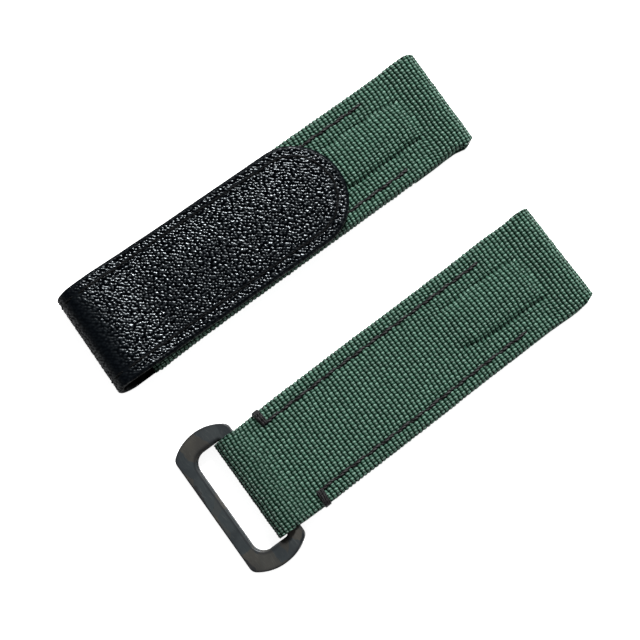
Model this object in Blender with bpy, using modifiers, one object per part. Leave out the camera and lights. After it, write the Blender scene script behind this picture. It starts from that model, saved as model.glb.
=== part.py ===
# Two-piece hook and loop watch strap: a short half with a ring buckle, and a long half whose leather
# tail folds back over it. Both halves lie side by side on a table. Metres, +Z up, X along the short half.

import math

import bmesh
import bpy
import numpy as np

# Sizes that both halves share
strap_width = 0.0200
nylon_wall = 0.0006
lining_thickness = 0.0008
core_thickness = 0.0008
layer_gap = 0.0002
edge_radius = 0.0009
corner_radius = 0.0008
thread_radius = 0.00022
stitch_length = 0.0032
stitch_arch = 0.00010
seam_inset = 0.0026

# Lug ends
tunnel_bore = 0.0016
tunnel_wall = 0.0003
tunnel_inset = 0.0004
lug_band = 0.0075
lug_flare = 0.0001
lug_hem = 0.0130
lug_opening = 0.0046
seam_to_lug = 0.0130
pad_length = 0.0180
pad_width = 0.0070
pad_rise = 0.0009
pad_ramp = 0.0022
pad_side_ramp = 0.0011
pad_tail = 0.0050

# Short half
short_length = 0.0689
loop_slack = 0.0007
loop_ramp = 0.0052
loop_pinch = 0.00025
loop_return = 0.0125
loop_opening = 0.0030
core_to_loop = 0.0062
loop_yaw = math.radians(-1.6)
tack_to_end = 0.0096
tack_radius = 0.00030
tack_width = 0.0011
tack_drop = 0.0012

# Ring buckle
ring_length = 0.0113
ring_arm = 0.0036
ring_thickness = 0.0019
ring_bar = 0.0025
ring_play = 0.0001
ring_end_radius = 0.0085
ring_corner_radius = 0.0015
ring_window_radius = 0.0023
ring_loop_corner_radius = 0.0005
ring_edge_radius = 0.00045
ring_clearance = 0.00022

# Long half
long_length = 0.0766
nylon_to_fold = 0.0070
leather_thickness = 0.0011
leather_inset = 0.00025
fold_height = 0.0062
flap_length = 0.0504
flap_tip_length = 0.0094
flap_settle = 0.0115
flap_tip_droop = 0.0006
flap_seam_inset = 0.0019
tape_to_seam = 0.0006
loop_tape_thickness = 0.00035
loop_tape_lead = 0.0012
hook_tape_inset = 0.00275
hook_tape_thickness = 0.00035
hook_tape_lead = 0.0105
hook_tape_to_tip = 0.0055

# How the halves lie in the photograph
halves_apart = 0.03478
long_ahead = 0.00097
long_yaw = math.radians(-1.42)

# Mesh fineness, as counts and shares
edge_arc_steps = 3
edge_wall_steps = 2
turn_steps = 8
corner_steps = 6
pad_side_steps = 3
flat_side_steps = 2
flap_rows = 16
flap_columns = 20
flap_ease_share = 0.5
seam_samples = 60
tip_samples = 40
lug_hem_rows = 4
smooth_angle = math.radians(35)

# Sizes that follow
half_width = strap_width / 2
strap_thickness = lining_thickness + core_thickness + nylon_wall + 2 * layer_gap
core_base = lining_thickness + layer_gap
nylon_inside = strap_thickness - nylon_wall
hem_top = nylon_wall + layer_gap
tunnel_radius = tunnel_bore / 2 + tunnel_wall
lug_radius = tunnel_radius + layer_gap + nylon_wall
ring_window = strap_width + ring_play
ring_span = ring_window + 2 * ring_arm
bar_core = (ring_bar / 2 - ring_edge_radius, ring_thickness / 2 - ring_edge_radius)
bar_reach = math.hypot(*bar_core) + ring_edge_radius
loop_radius = bar_reach + ring_clearance + nylon_wall
loop_centre = -short_length + loop_radius
pivot_x = loop_centre + loop_slack
pivot_reach = ring_length - ring_bar / 2
ring_tilt = math.asin(loop_radius / math.hypot(pivot_reach, ring_thickness / 2)) - math.atan2(
    ring_thickness / 2, pivot_reach
)
seam_y = half_width - seam_inset
fold_radius = fold_height / 2
fold_x = -long_length + fold_radius
nylon_end = -long_length + nylon_to_fold
pad_foot = pad_width / 2 + pad_side_ramp
flap_base = strap_thickness + loop_tape_thickness + hook_tape_thickness + 3 * layer_gap
leather_half = half_width - leather_inset
hook_half = leather_half - hook_tape_inset
tapes_front = -lug_band - pad_length - layer_gap


def smoothstep(value):
    value = np.clip(value, 0.0, 1.0)
    return value * value * (3 - 2 * value)


def finish(name, color, roughness):
    made = bpy.data.materials.new(name)
    made.use_nodes = True
    shader = made.node_tree.nodes["Principled BSDF"]
    shader.inputs["Base Color"].default_value = (*color, 1.0)
    shader.inputs["Roughness"].default_value = roughness
    shader.inputs["Metallic"].default_value = 0.0
    return made


def clear_scene():
    for found in list(bpy.data.objects):
        bpy.data.objects.remove(found, do_unlink=True)


def collection(name):
    made = bpy.data.collections.new(name)
    bpy.context.scene.collection.children.link(made)
    return made


def add(name, data, look, parent, place=(0.0, 0.0, 0.0)):
    """One piece of the strap under the empty of the half that carries it."""
    made = bpy.data.objects.new(name, data)
    strap.objects.link(made)
    made.parent = parent
    made.location = place
    data.materials.append(look)
    return made


def add_empty(name, place=(0.0, 0.0, 0.0), turn=(0.0, 0.0, 0.0), parent=None):
    made = bpy.data.objects.new(name, None)
    strap.objects.link(made)
    made.location = place
    made.rotation_euler = turn
    made.parent = parent
    return made


def smooth(made):
    made.data.shade_smooth()
    made.data.set_sharp_from_angle(angle=smooth_angle)


def bevel(made, width, segments=2):
    rounded = made.modifiers.new("Rounded edges", "BEVEL")
    rounded.width = width
    rounded.segments = segments
    rounded.limit_method = "ANGLE"
    rounded.angle_limit = smooth_angle
    smooth(made)


def sheet(name, points, wall, look, parent):
    """A sheet of even thickness under a grid of points, rows along the strap and columns across it."""
    rows, columns = points.shape[:2]
    corner = np.arange(rows * columns).reshape(rows, columns)
    faces = np.stack([corner[:-1, :-1], corner[1:, :-1], corner[1:, 1:], corner[:-1, 1:]], axis=-1)
    mesh = bpy.data.meshes.new(name)
    mesh.from_pydata(points.reshape(-1, 3).tolist(), [], faces.reshape(-1, 4).tolist())
    made = add(name, mesh, look, parent)
    thickness = made.modifiers.new("Wall", "SOLIDIFY")
    thickness.thickness = wall
    thickness.offset = -1.0
    thickness.use_even_offset = True
    smooth(made)
    return made


def slab(name, low, high, look, parent):
    """A box between two corners."""
    size = [top - bottom for bottom, top in zip(low, high)]
    middle = [(top + bottom) / 2 for bottom, top in zip(low, high)]
    body = bmesh.new()
    bmesh.ops.create_cube(body, size=1.0)
    bmesh.ops.scale(body, vec=size, verts=body.verts)
    mesh = bpy.data.meshes.new(name)
    body.to_mesh(mesh)
    body.free()
    return add(name, mesh, look, parent, middle)


def loft(name, sections, look, parent):
    """A solid through like sections, each a closed ring of points, with flat ends."""
    count = len(sections[0])
    points = [point for section in sections for point in section]
    faces = [list(range(count))[::-1], [len(points) - count + k for k in range(count)]]
    for start in range(0, len(points) - count, count):
        for k in range(count):
            along = (k + 1) % count
            faces.append([start + k, start + along, start + count + along, start + count + k])
    mesh = bpy.data.meshes.new(name)
    mesh.from_pydata(points, [], faces)
    body = bmesh.new()
    body.from_mesh(mesh)
    bmesh.ops.recalc_face_normals(body, faces=body.faces)
    body.to_mesh(mesh)
    body.free()
    return add(name, mesh, look, parent)


def tube(name, points, radius, look, parent):
    """A thread: a round bar along a line of points, with closed ends."""
    curve = bpy.data.curves.new(name, "CURVE")
    curve.dimensions = "3D"
    curve.bevel_depth = radius
    curve.bevel_resolution = 1
    curve.use_fill_caps = True
    line = curve.splines.new("POLY")
    line.points.add(len(points) - 1)
    for point, place in zip(line.points, points):
        point.co = (*place, 1.0)
    return add(name, curve, look, parent)


def plate(name, rings, height, look, parent, place=(0.0, 0.0, 0.0)):
    """A flat plate with a closed outline and its holes, as a mesh about its mid plane."""
    curve = bpy.data.curves.new(name, "CURVE")
    curve.dimensions = "2D"
    curve.fill_mode = "BOTH"
    curve.extrude = height / 2
    for ring in rings:
        line = curve.splines.new("POLY")
        line.points.add(len(ring) - 1)
        line.use_cyclic_u = True
        for point, spot in zip(line.points, ring):
            point.co = (*spot, 0.0, 1.0)
    flat = bpy.data.objects.new(name, curve)
    strap.objects.link(flat)
    bpy.context.view_layer.update()
    mesh = bpy.data.meshes.new_from_object(flat.evaluated_get(bpy.context.evaluated_depsgraph_get()))
    bpy.data.objects.remove(flat)
    body = bmesh.new()
    body.from_mesh(mesh)
    bmesh.ops.remove_doubles(body, verts=body.verts, dist=height / 1000)
    bmesh.ops.recalc_face_normals(body, faces=body.faces)
    body.to_mesh(mesh)
    body.free()
    return add(name, mesh, look, parent, place)


def arc(centre, radius, start, end, steps):
    """Points on a circle between two angles in degrees, both ends included."""
    angles = np.radians(np.linspace(start, end, steps + 1))
    return [(centre[0] + radius * math.cos(a), centre[1] + radius * math.sin(a)) for a in angles]


# The nylon of each half is one sheet. Its rows follow a side path: under the lug end, round the spring
# bar's tunnel, along the top, and down at the other end. Its columns cross the strap and turn down at
# the edges, as far as each row lets them.


def lug_top(back):
    """Height of the top at a distance back from the lug end: the tunnel's swell, then the flat strap."""
    fall = smoothstep((back - lug_radius) / (lug_band - lug_radius))
    return strap_thickness + (2 * lug_radius - strap_thickness) * (1 - fall)


def pad_bump(back, across):
    """The padded tongue behind the tunnel, raised in the middle of the strap and soft at its sides."""
    along = smoothstep((back - lug_band) / pad_ramp) * smoothstep((lug_band + pad_length - back) / pad_tail)
    return pad_rise * along * smoothstep((pad_foot - np.abs(across)) / pad_side_ramp)


def row(x, z, normal=(0.0, 1.0), half=half_width, drop=0.0, bump=False):
    """One row of the sheet across the strap, from its far edge to its near edge."""
    over_pad = np.linspace(pad_width / 2, pad_foot, pad_side_steps + 1)
    beside = np.linspace(pad_foot, half - edge_radius, flat_side_steps + 1)[1:]
    flat = np.concatenate([np.zeros(1), over_pad, beside])
    arcs = np.radians(np.linspace(0, 90, edge_arc_steps + 1)[1:])
    straight = np.linspace(0, 1, edge_wall_steps + 1)[1:]
    turned = min(1.0, drop / edge_radius)
    out = np.concatenate([np.sin(arcs), np.ones(edge_wall_steps)])
    spread = np.arange(1, len(out) + 1) / len(out)
    y = half - edge_radius + edge_radius * (turned * out + (1 - turned) * spread)
    wall = max(drop - edge_radius, 0.0)
    down = np.concatenate(
        [edge_radius * turned * (1 - np.cos(arcs)), edge_radius * turned + wall * straight]
    )
    y = np.concatenate([flat, y])
    down = np.concatenate([np.zeros(len(flat)), down])
    rise = pad_bump(-x, y) if bump else np.zeros(len(y))
    offset = np.concatenate([(rise - down)[::-1], (rise - down)[1:]])
    across = np.concatenate([y[::-1], -y[1:]])
    return np.stack([x + normal[0] * offset, across, z + normal[1] * offset], axis=-1)


def rounded_half(half, beyond):
    """Half the width of a row that reaches a distance into a rounded corner."""
    inside = min(max(beyond / corner_radius, 0.0), 1.0)
    return half - corner_radius * (1 - math.sqrt(1 - inside * inside))


def lug_rows():
    """The hem under the lug end, then the turn round the tunnel."""
    rows = [row(x, 0.0, (0.0, -1.0)) for x in np.linspace(-lug_hem, -lug_radius, lug_hem_rows)]
    for angle in np.linspace(-90, 90, turn_steps + 1)[1:]:
        aim = (math.cos(math.radians(angle)), math.sin(math.radians(angle)))
        x = -lug_radius + lug_radius * aim[0]
        half = rounded_half(half_width + lug_flare, x + corner_radius)
        rows.append(row(x, lug_radius + lug_radius * aim[1], aim, half))
    return rows


def top_rows(stations, side_foot, top=lug_top, half_at=None):
    """Rows along the top. The edges turn down to side_foot(x), and stay flat where that gives None."""
    rows = []
    for x in stations:
        foot = side_foot(x)
        height = float(top(-x))
        half = half_at(x) if half_at else half_width
        drop = 0.0 if foot is None else height - foot
        rows.append(row(x, height, half=half, drop=drop, bump=True))
    return rows


def spaced(*stops):
    """Stations between stops, given as (place, steps to the next)."""
    places = []
    for (start, steps), (end, _) in zip(stops, stops[1:]):
        places += list(np.linspace(start, end, steps + 1)[:-1])
    return places + [stops[-1][0]]


lug_stops = (
    (-lug_radius - layer_gap, 1),
    (-lug_opening + layer_gap, 1),
    (-lug_opening - layer_gap, 2),
    (-lug_band, 3),
    (-lug_band - pad_ramp, 1),
    (-lug_hem - layer_gap, 1),
    (-lug_hem - 3 * layer_gap, 2),
    (-lug_band - pad_length + pad_tail, 3),
    (-lug_band - pad_length, 2),
)


def lug_foot(x):
    """Where the side wall ends near the lug: open at the tunnel, above the hem, then down to the table."""
    if x > -lug_opening:
        return None
    return hem_top if x > -lug_hem - 2 * layer_gap else 0.0


def short_nylon():
    ramp_end = pivot_x + loop_ramp
    return_end = -short_length + loop_return
    opening = pivot_x + loop_opening

    def loop_top(back):
        return lug_top(back) + (2 * loop_radius - strap_thickness) * smoothstep((ramp_end + back) / loop_ramp)

    def foot(x):
        if x < opening:
            return None
        return hem_top if x < return_end + 2 * layer_gap else lug_foot(x)

    def half_at(x):
        reached = (ramp_end + loop_ramp - x) / (2 * loop_ramp - loop_opening)
        return half_width - loop_pinch * float(smoothstep(reached))

    stations = spaced(
        *lug_stops,
        (return_end + 3 * layer_gap, 1),
        (return_end + layer_gap, 1),
        (ramp_end, 3),
        (opening + layer_gap, 1),
        (opening - layer_gap, 3),
        (pivot_x, 1),
        (loop_centre, 0),
    )
    rows = lug_rows() + top_rows(stations, foot, loop_top, half_at)
    pinched = half_width - loop_pinch
    for angle in np.linspace(90, 270, turn_steps + 1)[1:]:
        aim = (math.cos(math.radians(angle)), math.sin(math.radians(angle)))
        x = loop_centre + loop_radius * aim[0]
        half = rounded_half(pinched, -short_length + corner_radius - x)
        rows.append(row(x, loop_radius + loop_radius * aim[1], aim, half))
    for x in np.linspace(loop_centre, return_end, lug_hem_rows)[1:]:
        rows.append(row(x, 0.0, (0.0, -1.0), half_at(x)))
    points = np.array(rows)
    askew = smoothstep((ramp_end - points[..., 0]) / loop_ramp)
    points[..., 0] -= math.tan(loop_yaw) * points[..., 1] * askew
    sheet("short_nylon_cover", points, nylon_wall, green_nylon, short_half)


def long_nylon():
    turn = nylon_end + edge_radius
    stations = spaced(*lug_stops, (turn, 0))
    rows = lug_rows() + top_rows(stations, lug_foot)
    for angle in np.linspace(90, 180, corner_steps // 2 + 1)[1:]:
        aim = (math.cos(math.radians(angle)), math.sin(math.radians(angle)))
        place = (turn + edge_radius * aim[0], strap_thickness - edge_radius + edge_radius * aim[1])
        rows.append(row(*place, aim, rounded_half(half_width, turn - place[0])))
    end_half = rounded_half(half_width, edge_radius)
    rows.append(row(nylon_end, leather_thickness + layer_gap, (-1.0, 0.0), end_half))
    sheet("long_nylon_cover", np.array(rows), nylon_wall, green_nylon, long_half)


def lug_inside(half_name, parent, core_end):
    """What the nylon hides at every lug end: the liner of the tunnel, the stiffener and the pad on it."""
    side = half_width - nylon_wall - layer_gap
    bore = arc((0.0, 0.0), tunnel_bore / 2, 0, 360, 3 * turn_steps)[:-1]
    wall = arc((0.0, 0.0), tunnel_radius, 0, 360, 3 * turn_steps)[:-1]
    liner = plate(
        half_name + "_tunnel_liner",
        (wall, bore),
        strap_width - 2 * tunnel_inset,
        liner_plastic,
        parent,
        (-lug_radius, 0.0, lug_radius),
    )
    liner.rotation_euler = (math.pi / 2, 0.0, 0.0)
    smooth(liner)
    core_front = -lug_band + layer_gap
    slab(
        half_name + "_stiffener",
        (core_end, -side, core_base),
        (core_front, side, core_base + core_thickness),
        stiffener_board,
        parent,
    )
    pad_side = pad_width / 2 - layer_gap
    pad = slab(
        half_name + "_pad",
        (-lug_band - pad_length + pad_tail, -pad_side, nylon_inside),
        (-lug_band - pad_ramp, pad_side, nylon_inside + pad_rise - layer_gap),
        pad_foam,
        parent,
    )
    bevel(pad, (pad_rise - layer_gap) / 3)


def linings():
    side = half_width - nylon_wall - layer_gap
    front = -lug_hem - layer_gap
    short_end = -short_length + loop_return + layer_gap
    slab("short_lining", (short_end, -side, 0.0), (front, side, lining_thickness), black_leather, short_half)

    # The long lining is pared thin under the nylon and grows to the full leather of the tail beyond it.
    pared_end = nylon_end - layer_gap
    tail_end = fold_x + layer_gap / 2
    sections = (
        (front, side, lining_thickness),
        (pared_end, side, lining_thickness),
        (pared_end - layer_gap, leather_half, leather_thickness),
        (tail_end, leather_half, leather_thickness),
    )
    corners = [[(x, -y, 0.0), (x, y, 0.0), (x, y, z), (x, -y, z)] for x, y, z in sections]
    loft("long_lining", corners, black_leather, long_half)


def seam(name, path, parent):
    """Lock stitches along a path: the thread dips at every needle hole and arches between them."""
    path = np.array(path)
    steps = np.linalg.norm(np.diff(path, axis=0), axis=1)
    reached = np.concatenate([[0.0], np.cumsum(steps)])
    stitches = max(2, round(reached[-1] / stitch_length))
    places = np.linspace(0.0, reached[-1], 2 * stitches + 1)
    line = np.stack([np.interp(places, reached, path[:, axis]) for axis in range(3)], axis=-1)
    line[:, 2] += layer_gap + thread_radius + stitch_arch * (np.arange(len(line)) % 2)
    tube(name, line, thread_radius, black_thread, parent)


def strap_seams():
    short_start = -short_length + tack_to_end + tack_width
    long_start = nylon_end + edge_radius + stitch_length / 2
    for half_name, parent, start in (("short", short_half, short_start), ("long", long_half, long_start)):
        stations = np.linspace(start, -seam_to_lug, seam_samples)
        for side_name, side in (("far", 1), ("near", -1)):
            path = [(x, side * seam_y, strap_thickness + float(pad_bump(-x, seam_y))) for x in stations]
            seam(f"{half_name}_{side_name}_seam", path, parent)


def bar_tacks():
    """Each tack locks the loop behind the ring: a tight bundle from the seam out over the edge."""
    x = -short_length + tack_to_end
    lift = layer_gap + tack_radius
    reach = edge_radius + lift
    centre = (half_width - edge_radius, strap_thickness - edge_radius)
    bend = arc(centre, reach, 90, 0, corner_steps)
    route = [(seam_y - thread_radius, strap_thickness + lift)] + bend
    route.append((half_width + lift, strap_thickness - edge_radius - tack_drop / 2))
    for side_name, side in (("far", 1), ("near", -1)):
        points = [(x, side * y, z) for y, z in route]
        tube(f"short_{side_name}_bar_tack", points, tack_radius, black_thread, short_half)


def ring_end(side):
    """Half of the ring's outline at one end: corner, bowed end, corner, from the loop bar to the free bar."""
    left = -pivot_reach
    right = ring_bar / 2
    bow_x = (left + right) / 2
    bow_y = ring_span / 2 - ring_end_radius
    run = (right - left) / 2 - ring_corner_radius
    swing = ring_end_radius - ring_corner_radius
    corner_y = bow_y + math.sqrt(swing * swing - run * run)
    lean = math.degrees(math.acos(run / swing))
    points = arc((right - ring_corner_radius, corner_y), ring_corner_radius, 0, lean, corner_steps)
    points += arc((bow_x, bow_y), ring_end_radius, lean, 180 - lean, 2 * corner_steps)[1:-1]
    points += arc((left + ring_corner_radius, corner_y), ring_corner_radius, 180 - lean, 180, corner_steps)
    return [(x, side * y) for x, y in points][:: int(side)]


def ring_buckle():
    """The ring leans down in the loop, so that the bar the tail goes round rests on the table."""
    half = ring_window / 2
    left = -pivot_reach + ring_bar
    right = -ring_bar / 2
    wide = ring_window_radius
    tight = ring_loop_corner_radius
    window = arc((right - tight, half - tight), tight, 0, 90, corner_steps // 2)
    window += arc((left + wide, half - wide), wide, 90, 180, corner_steps)
    window += arc((left + wide, wide - half), wide, 180, 270, corner_steps)
    window += arc((right - tight, tight - half), tight, 270, 360, corner_steps // 2)
    ring = plate("ring_buckle", (ring_end(1) + ring_end(-1), window), ring_thickness, carbon, ring_axis)
    bevel(ring, ring_edge_radius)


def flap_bottom(ahead):
    """Height of the flap's underside ahead of the fold's axis: down from the fold, then flat."""
    settled = smoothstep(ahead / flap_settle)
    tip = smoothstep((ahead - flap_length + hook_tape_to_tip) / hook_tape_to_tip)
    high = fold_height - leather_thickness
    return high + (flap_base - high) * settled - flap_tip_droop * tip


def flap():
    """The tail's end on top: straight sides and a half-oval tip, with its sheet settled on the hook tape."""
    side = np.radians(np.linspace(90, -90, flap_columns + 1))
    reach = flap_length - flap_tip_length + flap_tip_length * np.cos(side)
    start = layer_gap / 2
    even = np.linspace(1, 0, flap_rows + 1)
    share = flap_ease_share * smoothstep(even) + (1 - flap_ease_share) * even
    ahead = start + (reach[None, :] - start) * share[:, None]
    across = np.broadcast_to(leather_half * np.sin(side), ahead.shape)
    top = flap_bottom(ahead) + leather_thickness - fold_radius
    points = np.stack([ahead, across, top], axis=-1)
    sheet("leather_flap", points, leather_thickness, black_leather, fold_axis)


def flap_seam():
    """One row of stitches along both sides of the flap and round its tip."""
    side = leather_half - flap_seam_inset
    oval = np.radians(np.linspace(90, -90, tip_samples))
    tip_start = flap_length - flap_tip_length
    straight = np.linspace(stitch_length / 2, tip_start, tip_samples)
    ahead = np.concatenate(
        [straight, tip_start + (flap_tip_length - flap_seam_inset) * np.cos(oval), straight[::-1]]
    )
    across = np.concatenate([np.full(tip_samples, side), side * np.sin(oval), np.full(tip_samples, -side)])
    top = flap_bottom(ahead) + leather_thickness - fold_radius
    seam("flap_seam", np.stack([ahead, across, top], axis=-1), fold_axis)


def leather_bend():
    """The half turn of leather that hinges the flap: it opens flat when the flap is peeled back."""
    outer = arc((0.0, 0.0), fold_radius, 90, 270, 2 * turn_steps)
    inner = arc((0.0, 0.0), fold_radius - leather_thickness, 270, 90, 2 * turn_steps)
    profile = [(x - layer_gap / 2, z) for x, z in outer + inner]
    place = (fold_x, 0.0, fold_radius)
    bend = plate("leather_bend", (profile,), 2 * leather_half, black_leather, long_half, place)
    bend.rotation_euler = (math.pi / 2, 0.0, 0.0)
    smooth(bend)


def tapes():
    loop_half = seam_y - thread_radius - tape_to_seam
    loop_base = strap_thickness + layer_gap
    loop_front = min(fold_x + flap_length - flap_tip_length, tapes_front)
    slab(
        "loop_tape",
        (nylon_end + edge_radius + loop_tape_lead, -loop_half, loop_base),
        (loop_front, loop_half, loop_base + loop_tape_thickness),
        loop_pile,
        long_half,
    )
    hook_base = loop_base + loop_tape_thickness + layer_gap - fold_radius
    hook_front = min(flap_length - hook_tape_to_tip, tapes_front - fold_x)
    slab(
        "hook_tape",
        (hook_tape_lead, -hook_half, hook_base),
        (hook_front, hook_half, hook_base + hook_tape_thickness),
        hook_nylon,
        fold_axis,
    )


def centre_layout():
    """Moves both halves so that the middle of their joint footprint is at the origin."""
    bpy.context.view_layer.update()
    graph = bpy.context.evaluated_depsgraph_get()
    corners = []
    for piece in strap.objects:
        if piece.type == "EMPTY":
            continue
        evaluated = piece.evaluated_get(graph)
        mesh = evaluated.to_mesh()
        corners += [evaluated.matrix_world @ vertex.co for vertex in mesh.vertices]
        evaluated.to_mesh_clear()
    corners = np.array(corners)
    middle = (corners.min(axis=0) + corners.max(axis=0)) / 2
    layout.location = (-middle[0], -middle[1], 0.0)
    bpy.context.view_layer.update()


clear_scene()
strap = collection("Watch strap")
green_nylon = finish("green_nylon", (0.035, 0.105, 0.062), 0.75)
black_leather = finish("black_leather", (0.008, 0.009, 0.011), 0.45)
black_thread = finish("black_thread", (0.010, 0.009, 0.009), 0.70)
carbon = finish("carbon_composite", (0.035, 0.038, 0.040), 0.50)
liner_plastic = finish("liner_plastic", (0.60, 0.60, 0.58), 0.40)
stiffener_board = finish("stiffener_board", (0.12, 0.11, 0.10), 0.80)
pad_foam = finish("pad_foam", (0.30, 0.30, 0.29), 0.90)
loop_pile = finish("loop_pile", (0.012, 0.012, 0.013), 0.95)
hook_nylon = finish("hook_nylon", (0.014, 0.014, 0.015), 0.55)

layout = add_empty("layout")
short_half = add_empty("short_half", parent=layout)
ring_axis = add_empty("ring_axis", (pivot_x, 0.0, loop_radius), (0.0, -ring_tilt, loop_yaw), short_half)
long_half = add_empty("long_half", (long_ahead, halves_apart, 0.0), (0.0, 0.0, long_yaw), layout)
fold_axis = add_empty("fold_axis", (fold_x, 0.0, fold_radius), parent=long_half)

short_nylon()
lug_inside("short", short_half, pivot_x + core_to_loop)
ring_buckle()
bar_tacks()
long_nylon()
lug_inside("long", long_half, nylon_end + edge_radius + nylon_wall)
linings()
strap_seams()
tapes()
leather_bend()
flap()
flap_seam()
centre_layout()
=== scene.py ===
# Hook and loop watch strap: woven nylon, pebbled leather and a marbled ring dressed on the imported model.
# Shapes are worked out in millimetres on their own half; place() turns them into metres in the frame.

import math

import bpy
import mathutils
import numpy as np
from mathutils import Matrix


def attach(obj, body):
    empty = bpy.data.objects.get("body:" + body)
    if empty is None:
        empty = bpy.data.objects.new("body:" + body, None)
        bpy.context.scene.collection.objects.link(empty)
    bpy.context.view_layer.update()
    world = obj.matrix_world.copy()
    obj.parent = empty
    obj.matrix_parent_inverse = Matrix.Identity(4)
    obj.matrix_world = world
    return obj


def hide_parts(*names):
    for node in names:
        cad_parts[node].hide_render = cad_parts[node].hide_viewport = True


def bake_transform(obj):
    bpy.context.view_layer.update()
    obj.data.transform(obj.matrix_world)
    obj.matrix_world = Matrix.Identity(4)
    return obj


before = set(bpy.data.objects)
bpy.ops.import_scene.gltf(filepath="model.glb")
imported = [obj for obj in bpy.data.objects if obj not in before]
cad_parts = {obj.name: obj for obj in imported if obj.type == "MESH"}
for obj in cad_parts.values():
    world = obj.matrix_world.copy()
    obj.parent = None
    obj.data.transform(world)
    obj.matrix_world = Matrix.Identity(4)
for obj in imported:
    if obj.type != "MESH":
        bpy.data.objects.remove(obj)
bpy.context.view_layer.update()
print("frame loaded")

lug = {"radius": 1.9, "thick": 2.6, "band": 7.5, "hem": 13.0}  # the tunnel end of both halves


def lugEnd(half, yaw):  # where a half's lug end lies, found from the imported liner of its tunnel
    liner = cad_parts[half + "_tunnel_liner"]
    corners = np.array([liner.matrix_world @ mathutils.Vector(corner) for corner in liner.bound_box]) * 1000
    middle = (corners.min(axis=0) + corners.max(axis=0)) / 2
    turn = math.radians(yaw)
    return middle[0] + lug["radius"] * math.cos(turn), middle[1] + lug["radius"] * math.sin(turn)


halves = {half: {"at": lugEnd(half, yaw), "yaw": yaw} for half, yaw in (("short", 0.0), ("long", -1.42))}
print("lug ends at", halves["short"]["at"], halves["long"]["at"])


# Numbers that every piece uses

def ease(value):  # smoothstep: 0 below 0, 1 above 1, flat at both ends
    value = np.clip(value, 0.0, 1.0)
    return value * value * (3 - 2 * value)


def bell(value):  # Gauss curve, 1 at 0
    return np.exp(-np.square(value))


def draw(i, j, seed):  # the same share between 0 and 1 for the same pair of whole numbers
    mixed = np.sin(i * 127.1 + j * 311.7 + seed * 74.7) * 43758.5453
    return mixed - np.floor(mixed)


def drift(x, y, seed):  # slow noise, -1 to 1: shares drawn at whole numbers, eased between them
    i, j = np.floor(x), np.floor(y)
    a, b = ease(x - i), ease(y - j)
    low = draw(i, j, seed) * (1 - a) + draw(i + 1, j, seed) * a
    high = draw(i, j + 1, seed) * (1 - a) + draw(i + 1, j + 1, seed) * a
    return 2 * (low * (1 - b) + high * b) - 1


def waves(table, x, y, seed, gap=1, start=0.0):  # adds layers of slow noise: rise, length and width of each
    layers = (rise * drift(x / long, y / wide, seed + gap * k) for k, (rise, long, wide) in enumerate(table))
    return sum(layers, start)


def along(table, x):  # straight lines through (x, value) pairs
    table = np.array(sorted(table))
    return np.interp(x, table[:, 0], table[:, 1])


def distance(points, axis=0):  # how far along its line each point lies
    steps = np.linalg.norm(np.diff(points, axis=axis), axis=-1)
    return np.cumsum(np.insert(steps, 0, 0.0, axis=axis), axis=axis)


def unit(vectors):  # the same directions, each of length 1
    return vectors / np.maximum(np.linalg.norm(vectors, axis=-1, keepdims=True), 1e-12)


def pointsOf(*parts):  # points from their coordinates, spread to one shape
    return np.stack(np.broadcast_arrays(*parts), axis=-1)


def turned(a, b, degrees):  # two coordinates turned in their plane
    turn = math.radians(degrees)
    return a * math.cos(turn) - b * math.sin(turn), a * math.sin(turn) + b * math.cos(turn)


def place(points, half):  # turn by the half's yaw, shift to its lug end, millimetres to metres
    x, y, z = np.moveaxis(points, -1, 0)
    x, y = turned(x, y, halves[half]["yaw"])
    left, low = halves[half]["at"]
    return pointsOf(x + left, y + low, z) * 0.001


# Meshes

stride = 4  # the inner face of a sheet keeps every fourth row and column of its outer face
noTris = np.zeros((0, 3), int)


def addMesh(name, points, quads, tris, look, uv=None, values=None):  # one object at the origin
    mesh = bpy.data.meshes.new(name)
    corners = np.concatenate([np.ravel(quads), np.ravel(tris)]).astype(np.int32)
    starts = np.concatenate([np.arange(len(quads)) * 4, len(quads) * 4 + np.arange(len(tris)) * 3])
    mesh.vertices.add(len(points))
    mesh.vertices.foreach_set("co", np.asarray(points, np.float32).ravel())
    mesh.loops.add(len(corners))
    mesh.loops.foreach_set("vertex_index", corners)
    mesh.polygons.add(len(starts))
    mesh.polygons.foreach_set("loop_start", starts.astype(np.int32))
    mesh.update(calc_edges=True)
    if uv is not None:
        layer = mesh.uv_layers.new(name="weave")
        layer.uv.foreach_set("vector", np.asarray(uv, np.float32)[corners].ravel())
    for key, share in (values or {}).items():
        layer = mesh.attributes.new(key, "FLOAT", "POINT")
        layer.data.foreach_set("value", np.asarray(share, np.float32))
    mesh.validate()
    mesh.shade_smooth()
    mesh.materials.append(look)
    made = bpy.data.objects.new(name, mesh)
    bpy.context.scene.collection.objects.link(made)
    return made


def dress(made, body, node):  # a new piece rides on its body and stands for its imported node
    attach(made, body)
    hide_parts(node)


def outward(points, quads, tris):  # turns all faces round if the closed body's volume comes out negative
    fan = np.concatenate([quads[:, [0, 1, 2]], quads[:, [0, 2, 3]], tris])
    a, b, c = (points[fan[:, k]] - points.mean(axis=0) for k in range(3))
    way = -1 if np.einsum("ij,ij->i", a, np.cross(b, c)).sum() < 0 else 1
    return quads[:, ::way], tris[:, ::way]


def numbered(grid, first=0):  # the number of each point of a grid
    return first + np.arange(grid.shape[0] * grid.shape[1]).reshape(grid.shape[:2])


def gridQuads(index):  # faces between the numbered points of a grid
    return np.stack([index[:-1, :-1], index[1:, :-1], index[1:, 1:], index[:-1, 1:]], axis=-1).reshape(-1, 4)


def rimOf(grid):  # the border of a grid, once round
    return np.concatenate([grid[0, :-1], grid[:-1, -1], grid[-1, :0:-1], grid[:0:-1, 0]])


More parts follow.
